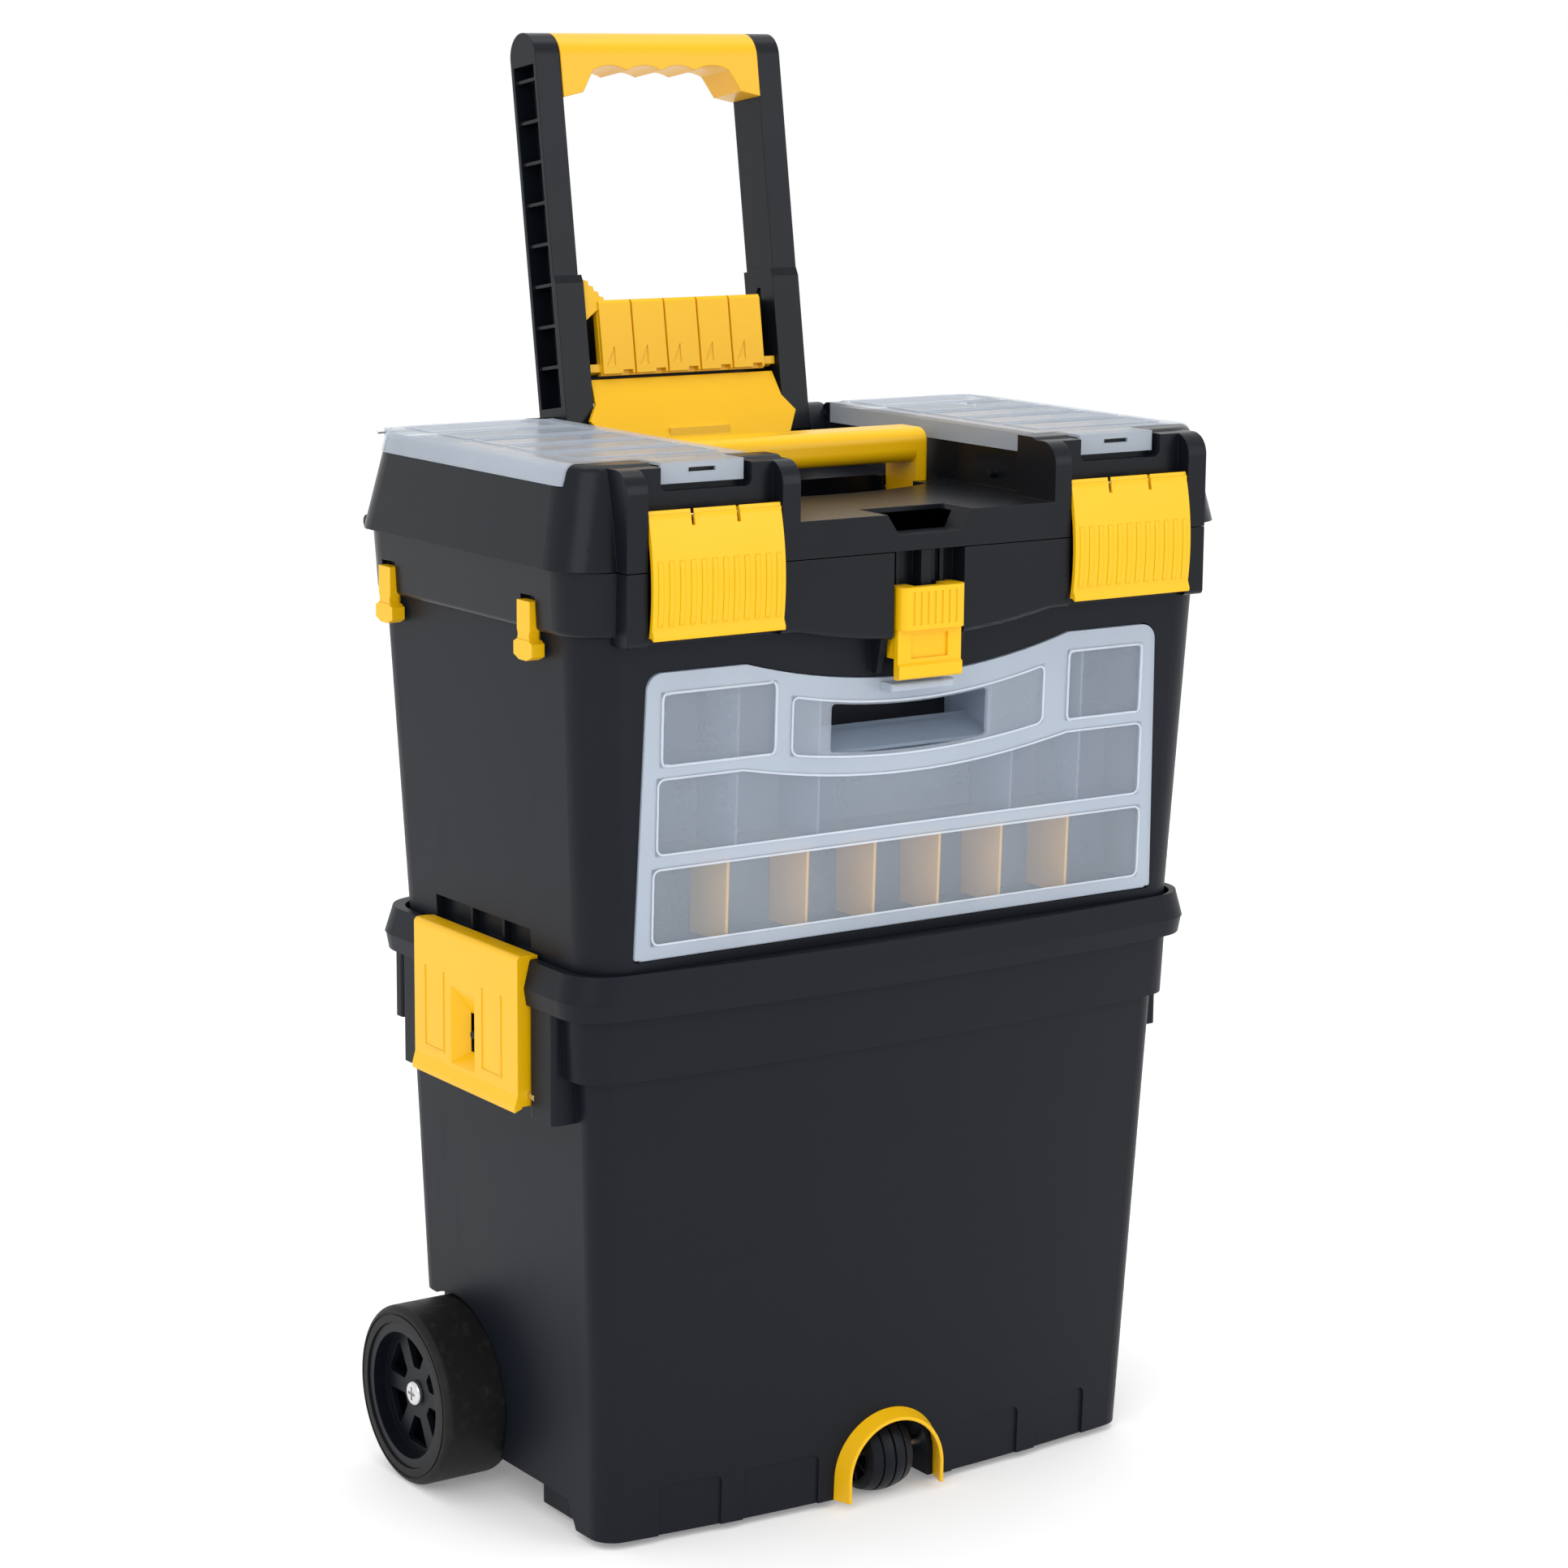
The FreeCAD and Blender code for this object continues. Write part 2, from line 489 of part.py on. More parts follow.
# ---- organizer case -----------------------------------------------------------------------------------
def organizer_case():
    front = 3.0
    shell = case_prism(-150, CASE_DEPTH_Y).common(behind_front(front))
    inside = case_prism(-150, CASE_DEPTH_Y - CASE_SKIN, -CASE_SKIN)
    tray = shell.cut(inside)
    walls = [box(-190, 190, -140, CASE_DEPTH_Y, SHELF_Z[0] - 0.8, SHELF_Z[0] + 0.8)]
    dip = Part.Arc(Vector(-CASE_DIP_HALF, -140, SHELF_Z[1]), Vector(0, -140, SHELF_Z[1] - 11),
                   Vector(CASE_DIP_HALF, -140, SHELF_Z[1])).toShape()
    sheet = dip.extrude(Vector(0, 0, 1.6)).extrude(Vector(0, 64, 0))
    walls.append(sheet)
    for side in (-1, 1):
        walls.append(box(min(side * 114, side * 190), max(side * 114, side * 190),
                         -140, CASE_DEPTH_Y, SHELF_Z[1], SHELF_Z[1] + 1.6))
    for x in CELL_WALL_X:
        top = CASE_Z[1] if abs(x) > 100 else SHELF_Z[1] - 5
        walls.append(box(x - 0.7, x + 0.7, -140, CASE_DEPTH_Y, SHELF_Z[0], top))
    for side in (-1, 1):
        x = side * (FINGER_HALF + 5)
        walls.append(box(x - 0.8, x + 0.8, -140, CASE_DEPTH_Y, SHELF_Z[1] - 8, CASE_Z[1]))
    reach = FINGER_HALF + 5
    walls.append(prism_yz([(-119.5, SCOOP[0]), (-97, SCOOP[1]), (-97, SCOOP[1] + 2),
                           (-119.5, SCOOP[0] + 2)], -reach, reach))
    inner = case_prism(-150, CASE_DEPTH_Y, -1.0).common(behind_front(front + 1.0))
    tray = fuse(tray, *[wall.common(inner) for wall in walls])
    finger = box(-FINGER_HALF - 4.2, FINGER_HALF + 4.2, -90, -60, SHELF_Z[1] + 2, 500)
    return tray.cut(finger)


def organizer_dividers():
    plates = []
    for x in DIVIDER_X:
        plate = box(x - 0.9, x + 0.9, -140, CASE_DEPTH_Y - CASE_SKIN - 0.3,
                    CASE_Z[0] + CASE_SKIN + 0.3, SHELF_Z[0] - 1.1)
        plates.append(plate.common(behind_front(4.5)))
    return Part.makeCompound(plates)


def organizer_lid():
    plate = case_prism(-150, -100).common(behind_front(0)).cut(behind_front(2.4))
    ends = [Vector(x, -140, z) for x, z in ((-FINGER_HALF, FINGER_Z[0]),
                                            (FINGER_HALF, FINGER_Z[0]),
                                            (FINGER_HALF, FINGER_Z[1]),
                                            (-FINGER_HALF, FINGER_Z[1]))]
    low, high = (Vector(0, -140, FINGER_Z[i] - FINGER_SAG[i]) for i in (0, 1))
    rim = Part.Wire([Part.Arc(ends[0], low, ends[1]).toShape(), Part.makeLine(ends[1], ends[2]),
                     Part.Arc(ends[2], high, ends[3]).toShape(), Part.makeLine(ends[3], ends[0])])
    hole = Part.Face(rim).extrude(Vector(0, 40, 0))
    hole = fillet_where(hole, 2.5, lambda edge: runs_along(edge, "y"))
    y, z = CASE_HINGE
    edge = rod_x(1.2, -CASE_HALF[0] + 4, CASE_HALF[0] - 4, y, z)
    plate = fuse(plate.cut(box(-190, 190, -130, -110, 350, z)), edge)
    catch = box(-HASP_HALF, HASP_HALF, -137, -122, 500, 505.2)
    catch = fillet_where(catch, 2, lambda edge: edge.BoundBox.YMax < -136.9)
    return fuse(plate.cut(hole), catch)


def case_latch():
    """Sliding latch: thick C-shaped grip above, thin keeper plate below."""
    low, waist, high = HASP_Z
    grip = box(-23, 23, -147, -132, waist, high)
    grip = fillet_where(grip, 5, lambda edge: runs_along(edge, "z") and edge.BoundBox.YMax < -140)
    flutes = [box(x - 0.7, x + 0.7, -150, -146.5, waist + 3, high - 3) for x in range(-15, 16, 5)]
    grip = grip.cut(fuse(box(-11, 11, -141.5, -120, waist - 1, high + 1), *flutes))
    keeper = box(-HASP_HALF, HASP_HALF, -142, -138, low, waist + 1)
    window = box(-13, 13, -150, -140.5, 520, 534)
    keeper = keeper.cut(window)
    guide = box(-22, -18.5, -138.5, -130, 520, high)
    toe = prism_yz([(-142, low), (-143.6, low + 1), (-143.6, low + 8), (-142, low + 9.5)],
                   -HASP_HALF, HASP_HALF)
    return fuse(grip, keeper, guide, mirrored(guide), toe)


# ---- lid ----------------------------------------------------------------------------------------------
def lid_outer(grow=0.0, top=0.0):
    block = tapered_block(LID_LOW, LID_Z[0], LID_HIGH, LID_Z[1] + top, 30.0 + grow, grow)
    return fillet_where(block, 6, lambda edge: edge.BoundBox.ZMin > LID_Z[1] + top - 0.1)


def lid_shell():
    bottom, top = LID_Z
    solid = lid_outer()
    block = box(-RIB_OUT, RIB_OUT, FRONT_Y, -110, bottom, 638.5)
    block = fillet_where(block, 13, lambda edge: runs_along(edge, "x")
                         and edge.BoundBox.YMax < FRONT_Y + 1 and edge.BoundBox.ZMin > 630)
    solid = fuse(solid, block)
    # recesses: latches, channel, bays, finger notch, tab notches
    latch_bay = box(LATCH_X[0] - 0.6, LATCH_X[1] + 0.6, -150, -131, 570, 650)
    channel = fuse(box(-CHANNEL_HALF, CHANNEL_HALF, SHOULDER_FRONT_Y, 160, CHANNEL_Z, 660),
                   box(-RIB_IN, RIB_IN, -160, 0, CHANNEL_Z, 660))
    notch = prism_xz([(-31, CHANNEL_Z + 1), (-22, 592), (22, 592), (31, CHANNEL_Z + 1)],
                     -150, -112)
    bay = box(BAY_X[0], BAY_X[1], -101, 111, BAY_FLOOR_Z, 660)
    bay = fillet_where(bay, 5, lambda edge: runs_along(edge, "z"))
    middle = (LATCH_X[0] + LATCH_X[1]) / 2
    tab_notch = box(middle - 30, middle + 30, -150, SHOULDER_FRONT_Y + 1, 625, 660)
    tab_notch = fillet_where(tab_notch, 4, lambda edge: runs_along(edge, "y")
                             and edge.BoundBox.ZMin < 626)
    tab_wall = box(middle - 32, middle + 32, -122.5, SHOULDER_FRONT_Y - 1, 600, 636)
    solid = solid.cut(fuse(latch_bay, mirrored(latch_bay), channel, notch))
    solid = solid.cut(fuse(bay, mirrored(bay)))
    solid = solid.cut(tab_notch.cut(tab_wall)).cut(mirrored(tab_notch.cut(tab_wall)))
    # the shoulders are stepped in where the clear lids cap them
    zone = box(CHANNEL_HALF - 3, 250, SHOULDER_FRONT_Y - 0.3, SHOULDER_BACK_Y + 0.3,
               CLEAR_SKIRT_Z - 0.4, 650)
    core = lid_outer(-1.3, -1.3).common(box(CHANNEL_HALF, 250, -110, 120, 600, 638.4))
    zone = zone.cut(core)
    beside_leaf = box(90, 250, CLEAR_SKIRT_END + 0.3, 130, 600, 660).cut(
        box(CLEAR_LEAF_X[0] - GAP, CLEAR_LEAF_X[1] + GAP, 90, 140, 590, 670))
    zone = zone.cut(beside_leaf)
    roll = box(116, 214, SHOULDER_BACK_Y - 4, 130, 633.8, 650)
    solid = solid.cut(fuse(zone, mirrored(zone), roll, mirrored(roll)))
    # hollow underside
    under_low, under_high = (231.5, -126.5, 121.5, 0.0), (226.5, -122.5, 118.0, 0.0)
    hollow = tapered_block(under_low, bottom - 1, under_high, 601, 28)
    pocket_edge = [Vector(-80, -28, 583), Vector(0, -45, 583), Vector(80, -28, 583)]
    arc = Part.Arc(*pocket_edge).toShape()
    rest = Part.makePolygon([Vector(80, -28, 583), Vector(80, 26, 583), Vector(-80, 26, 583),
                             Vector(-80, -28, 583)])
    pocket = Part.Face(Part.Wire([arc, rest])).extrude(Vector(0, 0, 40))
    tub = box(-82.4, 82.4, -48, 28.4, 580.6, 602)
    bar_room = box(-83, 83, CARRY_Y[0] - 0.5, CARRY_Y[1] + 0.5, 583, 620)
    well = box(-88, 88, 99, 160, 588.5, 660)
    well_tub = box(-90.5, 90.5, 96.5, 122, 586, 602)
    solid = fuse(solid.cut(hollow), tub, well_tub).cut(fuse(pocket, bar_room, well))
    leg_slot = box(CARRY_HALF - CARRY_LEG - 0.5, CARRY_HALF + 0.5, CARRY_Y[0] - 0.5,
                   CARRY_Y[1] + 0.5, 570, 620)
    solid = solid.cut(fuse(leg_slot, mirrored(leg_slot)))
    # cheeks for the tow handle, with ribs in front of its feet
    y, z = TOW_AXIS
    cheek = fuse(rod_x(17, RIB_IN, CHANNEL_HALF + 3, y, z),
                 box(RIB_IN, CHANNEL_HALF + 3, 104, y + 17, 596, z))
    skirt_room = box(CHANNEL_HALF - 2.4, 120, 90, SHOULDER_BACK_Y + 0.4, CLEAR_SKIRT_Z - 0.4, 660)
    cheek = cheek.cut(fuse(rod_x(TOW_PIN_R, 60, 120, y, z), skirt_room))
    fins = [box(x, x + 1.8, 100, 121, 588, 604.6) for x in (77.0, 81.0, 85.0)]
    solid = fuse(solid, cheek, mirrored(cheek), *fins, *[mirrored(fin) for fin in fins])
    # hinge knuckles at the back
    y, z = LID_HINGE
    for x in (140.4, 200.4):
        knuckle = fuse(rod_x(4.4, x, x + 18, y, z), box(x, x + 18, 122, y, z + 0.6, z + 4.4))
        solid = fuse(solid, knuckle, mirrored(knuckle))
    solid = solid.cut(rod_x(HINGE_PIN_R + RUN, -225, 225, y, z))
    latch_pin = rod_x(LATCH_PIN_R, LATCH_X[0] - 6, LATCH_X[1] + 6, *LATCH_PIN)
    clear_pin = rod_x(CLEAR_PIN_R, 110, 218.5, *CLEAR_HINGE)
    solid = solid.cut(Part.makeCompound([latch_pin, mirrored(latch_pin),
                                         clear_pin, mirrored(clear_pin)]))
    nub = prism_yz([(-123.6, 633), (-122.4, 635), (-122.4, 631)], middle - 5, middle + 5)
    peg = rod_x(2.0, 99.5, CHANNEL_HALF + 2, -64, 612)
    return fuse(solid, nub, mirrored(nub), peg)


def bay_dividers():
    plates = []
    for y in (-58.0, -16.0, 26.0, 68.0):
        plate = box(BAY_X[0] + 0.3, BAY_X[1] - 0.3, y - 0.9, y + 0.9, BAY_FLOOR_Z, 634)
        plates += [plate, mirrored(plate)]
    return Part.makeCompound(plates)


def front_latch():
    """Bowed over-centre latch with two slits at its hinged top edge."""
    def profile(inset):
        return [Vector(0, -139.2 + inset, 616 - inset * 0.6), Vector(0, -145.2 + inset, 582),
                Vector(0, -143.4 + inset, 546)]
    outer, inner = profile(0.0), profile(2.6)
    wire = Part.Wire([Part.Arc(*outer).toShape(), Part.makeLine(outer[2], inner[2]),
                      Part.Arc(*reversed(inner)).toShape(), Part.makeLine(inner[0], outer[0])])
    x0, x1 = LATCH_X
    plate = Part.Face(wire).extrude(Vector(x1 - x0, 0, 0))
    plate.translate(Vector(x0, 0, 0))
    y, z = LATCH_PIN
    knuckle = rod_x(3.4, x0, x1, y, z)
    web = box(x0, x1, -140.5, y, z - 2.2, z + 2.2)
    lip = prism_yz([(-143.2, 546), (-145.6, 544.6), (-145.9, 546.6), (-144.1, 551)], x0, x1)
    latch = fuse(plate, knuckle, web, lip)
    middle = (x0 + x1) / 2
    slits = [box(x - 1.1, x + 1.1, -150, -130, 607, 620) for x in (middle - 15, middle + 15)]
    inner_gap = box(middle - 13.9, middle + 13.9, -139, -130, 605, 620)
    return latch.cut(fuse(*slits, inner_gap)).cut(rod_x(LATCH_PIN_R + RUN, x0 - 1, x1 + 1, y, z))


def clear_lid():
    """Clear cap of one small-parts bay, with raised panels, side skirts and a snap tab."""
    zone = box(CHANNEL_HALF - 2.0, 250, SHOULDER_FRONT_Y, SHOULDER_BACK_Y, CLEAR_SKIRT_Z, 660)
    beside_leaf = box(90, 250, CLEAR_SKIRT_END, 130, 600, 660).cut(
        box(*CLEAR_LEAF_X, 90, 140, 590, 670))
    under_leaf = box(90, 250, CLEAR_SKIRT_END, 130, 600, 635)
    cap = lid_outer(0.9, 0.6).common(zone).cut(fuse(beside_leaf, under_leaf))
    inside = lid_outer(-0.9, -0.9).common(box(CHANNEL_HALF - 0.4, 250, -200, 200, 580, 638.8))
    cap = cap.cut(inside)
    panels = []
    for index in range(5):
        y0 = -92.0 + index * 40.0
        bead = box(114, 208, y0, y0 + 34, 640.0, 641.4).cut(
            box(116, 206, y0 + 2, y0 + 32, 639.0, 642.0))
        panels.append(bead)
    middle = (LATCH_X[0] + LATCH_X[1]) / 2
    tongue = box(middle - 27.5, middle + 27.5, -126.4, SHOULDER_FRONT_Y + 1, 638.8, 640.4)
    drop = box(middle - 27.5, middle + 27.5, -126.4, -124.6, 628.5, 640.4)
    drop = drop.cut(box(middle - 9, middle + 9, -130, -120, 634.5, 637))
    y, z = CLEAR_HINGE
    roll = rod_x(2.6, 117, 213, y, z)
    leaf = box(117, 213, SHOULDER_BACK_Y - 2, y, z + 0.9, z + 2.6)
    cap = fuse(cap, tongue, drop, roll, leaf, *panels)
    return cap.cut(rod_x(CLEAR_PIN_R + RUN, 100, 230, y, z))


# ---- handles ------------------------------------------------------------------------------------------
def carry_handle():
    low, high = CARRY_Z
    bar = box(-CARRY_HALF, CARRY_HALF, CARRY_Y[0], CARRY_Y[1], low, high)
    bar = fillet_where(bar, 8, lambda edge: runs_along(edge, "x"))
    leg = box(CARRY_HALF - CARRY_LEG, CARRY_HALF, CARRY_Y[0], CARRY_Y[1], CARRY_FOOT_Z, high - 8)
    foot = box(CARRY_HALF - 2, CARRY_HALF + 2.5, CARRY_Y[0] + 4, CARRY_Y[1] - 4,
               CARRY_FOOT_Z, CARRY_FOOT_Z + 4)
    handle = fuse(bar, leg, mirrored(leg), foot, mirrored(foot))
    return handle.makeFillet(3.0, [edge for edge in handle.Edges
                                   if abs(edge.BoundBox.XMax) > CARRY_HALF - 0.1
                                   and abs(edge.BoundBox.XLength) < 0.1
                                   and edge.BoundBox.ZMin > high - 9])


def stand_up(shape):
    """Place a tow-handle piece: modelled upright on its pivot, then leaned and lifted."""
    placed = shape.copy()
    placed.rotate(Vector(0, 0, 0), Vector(1, 0, 0), -TOW_LEAN)
    placed.translate(Vector(0, TOW_AXIS[0], TOW_AXIS[1]))
    return placed


def tow_core():
    return box(-TOW_POST_X[0] - 1, TOW_POST_X[0] + 1, -7, 7, TOW_TOP - 20, TOW_TOP - 8)


def tow_frame_upright():
    x0, x1 = TOW_POST_X
    d = TOW_DEPTH
    post = fuse(box(x0, x1, -d, d, 0, TOW_TOP - d), rod_x(d, x0, x1, 0, 0),
                rod_x(d, x0, x1, 0, TOW_TOP - d))
    sleeve = fuse(box(x0 - 2.3, x1, -d - 2, d, 0, TOW_STEP), rod_x(d, x0 - 2.3, x1, 0, 0))
    sleeve = sleeve.cut(prism_yz([(-d - 3, TOW_STEP + 1), (-d - 3, TOW_STEP - 8),
                                  (-d, TOW_STEP + 1)], 0, 100))
    post = fuse(post, sleeve)
    # channel open to the outside, crossed by thin ribs
    channel = box(x0 + 4, x1 + 1, -d + 3, d - 3, 22, TOW_TOP - 20)
    rib_count = int((TOW_TOP - 42) // TOW_RIB_PITCH)
    for index in range(1, rib_count + 1):
        height = 22 + index * TOW_RIB_PITCH
        channel = channel.cut(box(x0, x1 - 1.5, -d, d, height - 1, height + 1))
    post = post.cut(channel)
    groove = fuse(box(x0 - 3, x0 - 0.9, -4, 2, 26, 88), rod_x(3, x0 - 3, x0 - 0.9, -1, 88))
    post = post.cut(groove).cut(rod_x(TOW_PIN_R + RUN, 60, 100, 0, 0))
    panel = box(-x0, x0, 5, 9, 24, 84)
    frame = fuse(post, mirrored(post), tow_core(), panel)
    return frame.cut(rod_x(FLAP_PIN_R, -75, 75, *FLAP_PIN))


def tow_grip_upright():
    """Grip with four finger waves on its underside."""
    d, half = TOW_DEPTH + 1, TOW_POST_X[0] - 0.05
    waves, low, mid = 4, TOW_TOP - GRIP_DROP, TOW_TOP - 25.0
    span = 2 * 50.0 / waves
    points = [Vector(-half, 0, low), Vector(-58, 0, low + 3), Vector(-50, 0, mid)]
    edges = [Part.makePolygon(points)]
    for index in range(waves):
        x = -50 + index * span
        crest = Vector(x + span / 2, 0, mid + 3.2)
        edges.append(Part.Arc(Vector(x, 0, mid), crest, Vector(x + span, 0, mid)).toShape())
    edges.append(Part.makePolygon([Vector(50, 0, mid), Vector(58, 0, low + 3),
                                   Vector(half, 0, low), Vector(half, 0, TOW_TOP),
                                   Vector(-half, 0, TOW_TOP), Vector(-half, 0, low)]))
    slab = Part.Face(Part.Wire(edges)).extrude(Vector(0, 2 * d, 0))
    slab.translate(Vector(0, -d, 0))
    round_top = fuse(rod_x(d, -half, half, 0, TOW_TOP - d), box(-half, half, -d, d, 0, TOW_TOP - d))
    return slab.common(round_top).cut(tow_core())


def brace_plate_upright(frame):
    """Sloping cover plate across the feet, widest in the middle."""
    top, foot = (-12.0, 37.6), (-29.5, -5.6)
    slope = (foot[0] - top[0]) / (foot[1] - top[1])
    sheet = [(top[0], top[1]), (foot[0], foot[1]), (foot[0] + 1.6, foot[1] - 2.0),
             (top[0] + 2.6, top[1])]
    slab = prism_yz(sheet, -90, 90)
    shape = prism_xz([(-67, 38), (-68.6, 22), (-76, 12), (-62, -9), (62, -9), (76, 12),
                      (68.6, 22), (67, 38)], -60, 0)
    bead_y = top[0] + slope * (2.0 - top[1])
    bead = box(-22, 22, bead_y - 0.8, bead_y + 1.5, 0, 5)
    tie = box(-60, 60, top[0], 6, 28, 33)
    return fuse(slab.common(shape), bead, tie).cut(frame)


def release_flap_upright():
    """Sprung push flap: five blocks side by side, a toothed horn and two hinge lugs."""
    low, high = FLAP_SPAN
    pitch = 2 * FLAP_HALF / 5
    pieces = [box(-FLAP_HALF, FLAP_HALF, -13.5, -9, low, high)]
    for index in range(5):
        x = -FLAP_HALF + index * pitch
        pieces.append(prism_yz([(-15.8, low + 1), (-15.8, high - 2), (-14.6, high), (-13, high),
                                (-13, low + 1)], x + 0.6, x + pitch - 0.6))
    for side in (-1, 1):
        x0, x1 = sorted((side * (FLAP_HALF - 10), side * (TOW_POST_X[0] - 2.9)))
        pieces.append(fuse(rod_x(3.2, x0, x1, *FLAP_PIN),
                           box(x0, x1, -13, FLAP_PIN[0], FLAP_PIN[1] - 2, FLAP_PIN[1] + 3)))
    horn = [(-FLAP_HALF, high - 6), (-68.5, high - 12), (-68.5, high + 13)]
    for step in range(4):
        x, z = -65.0 + step * 3.4, high + 12 - step * 3.4
        horn += [(x, z), (x + 0.3, z - 2.6)]
    horn += [(-48, high - 1), (-48, high - 6)]
    pieces.append(prism_xz(horn, -14.5, -9.5))
    flap = fuse(*pieces)
    for index in range(5):
        x = -FLAP_HALF + (index + 0.62) * pitch
        flap = flap.cut(box(x, x + 7, -20, -12.4, low - 1, low + 3.2))
        tip = -FLAP_HALF + (index + 0.36) * pitch
        mark = prism_xz([(tip - 5, low + 6), (tip + 1, low + 6), (tip + 1, low + 18)],
                        -20, -15.2)
        flap = flap.cut(mark)
    return flap.cut(rod_x(FLAP_PIN_R + RUN, -80, 80, *FLAP_PIN))


# ---- everything by node name ------------------------------------------------------------------------------
def all_nodes():
    nodes = {
        "lower_bin": lower_bin(),
        "caster_hood": caster_hood(),
        "caster_axle": rod_x(3, -36, 36, ROLLER_Y, ROLLER_R),
        "caster_roller": caster_roller(),
        "box_body": box_body(),
        "box_collar": box_collar().cut(box_body()),
        "side_clips": side_clips(),
        "organizer_case": organizer_case(),
        "organizer_lid": organizer_lid(),
        "organizer_dividers": organizer_dividers(),
        "case_latch": case_latch(),
        "lid_shell": lid_shell(),
        "bay_dividers": bay_dividers(),
        "carry_handle": carry_handle(),
    }
    pairs = {
        "wheel_tyre": wheel_tyre(),
        "wheel_hub": wheel_hub(),
        "side_latch": side_latch(),
        "front_latch": front_latch(),
        "clear_lid": clear_lid(),
    }
    for name, right in pairs.items():
        nodes[name + "_right"] = right
        nodes[name + "_left"] = mirrored(right)
    frame = tow_frame_upright()
    pivot = rod_x(TOW_PIN_R, 68, CHANNEL_HALF + 3, 0, 0)
    nodes.update({
        "wheel_screws": both_sides(wheel_screw()),
        "side_latch_pins": both_sides(rod_y(SIDE_PIN_R, -67, 67, *SIDE_PIN)),
        "lid_hinge_pins": both_sides(rod_x(HINGE_PIN_R, 120, 218.4, *LID_HINGE)),
        "front_latch_pins": both_sides(rod_x(LATCH_PIN_R, LATCH_X[0] - 6, LATCH_X[1] + 6,
                                             *LATCH_PIN)),
        "clear_lid_pins": both_sides(rod_x(CLEAR_PIN_R, 110, 218.5, *CLEAR_HINGE)),
        "tow_frame": stand_up(frame),
        "tow_grip": stand_up(tow_grip_upright()),
        "brace_plate": stand_up(brace_plate_upright(frame)),
        "release_flap": stand_up(release_flap_upright()),
        "flap_pin": stand_up(rod_x(FLAP_PIN_R, -75, 75, *FLAP_PIN)),
        "tow_pivots": stand_up(both_sides(pivot)),
    })
    return nodes


def main():
    nodes = all_nodes()
    lean = math.radians(TOW_LEAN)
    grip_r = TOW_DEPTH + 1
    front = min(vertex.Y for vertex in nodes["case_latch"].Vertexes)
    back = TOW_AXIS[0] + (TOW_TOP - grip_r) * math.sin(lean) + grip_r
    shift = Vector(0, -(front + back) / 2, 0)
    os.makedirs("parts", exist_ok=True)
    for name, shape in nodes.items():
        moved = shape.copy()
        moved.translate(shift)
        moved.exportStep("parts/%s.step" % name)
        print("%-20s solids %d valid %s volume %.0f" %
              (name, len(moved.Solids), moved.isValid(), moved.Volume))
    print("origin shifted by %.3f in Y; depth %.2f" % (shift.y, back - front))


main()
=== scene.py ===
import math

import bmesh
import bpy
from mathutils import Matrix, Vector


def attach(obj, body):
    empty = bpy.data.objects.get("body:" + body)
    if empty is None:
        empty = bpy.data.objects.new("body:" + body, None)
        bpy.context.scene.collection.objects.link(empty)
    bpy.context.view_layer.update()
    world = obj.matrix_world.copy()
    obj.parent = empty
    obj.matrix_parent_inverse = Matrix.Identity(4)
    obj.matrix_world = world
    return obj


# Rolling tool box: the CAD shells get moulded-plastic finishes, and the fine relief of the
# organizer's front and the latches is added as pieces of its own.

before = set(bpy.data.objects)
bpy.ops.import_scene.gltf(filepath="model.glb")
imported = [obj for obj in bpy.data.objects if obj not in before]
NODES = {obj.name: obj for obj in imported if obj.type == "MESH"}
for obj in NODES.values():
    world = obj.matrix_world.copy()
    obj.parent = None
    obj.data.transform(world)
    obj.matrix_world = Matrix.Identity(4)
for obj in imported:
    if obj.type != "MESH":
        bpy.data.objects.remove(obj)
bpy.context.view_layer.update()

# Cells moulded in the organizer's front: left, right, lower and upper edge, in metres.
CELL_LEFT = (-0.172, -0.094, 0.469, 0.512)
CELL_RIGHT = (0.115, 0.172, 0.469, 0.512)
HANDLE_PANEL = (-0.084, 0.098, 0.4725, 0.510)
ROW_MIDDLE = (-0.174, 0.174, 0.418, 0.463)
ROW_BOTTOM = (-0.176, 0.176, 0.366, 0.411)
SAG, SHALLOW_SAG = 0.0162, 0.012    # how far the curved edges dip at the middle
SAG_HALF = 0.115                    # the dip ends this far from the middle

# The organizer front leans forward between these two heights; its foot and run are along Y.
LEAN_Z, LEAN_FOOT, LEAN_RUN = (0.3314, 0.582), -0.135678, 0.0083
SMOOTH_ANGLE = math.radians(38)


# ---- shader maths ------------------------------------------------------------------------
class Level:
    """A number that varies over a surface; its operators add Math nodes."""

    def __init__(self, finish, socket):
        self.finish, self.socket = finish, socket

    def _math(self, operation, a, b):
        return self.finish.level("ShaderNodeMath", {"operation": operation}, {0: a, 1: b})

    def __add__(self, other):
        return self._math("ADD", self, other)

    def __sub__(self, other):
        return self._math("SUBTRACT", self, other)

    def __mul__(self, other):
        return self._math("MULTIPLY", self, other)

    def __rsub__(self, other):
        return self._math("SUBTRACT", other, self)

    __radd__, __rmul__ = __add__, __mul__


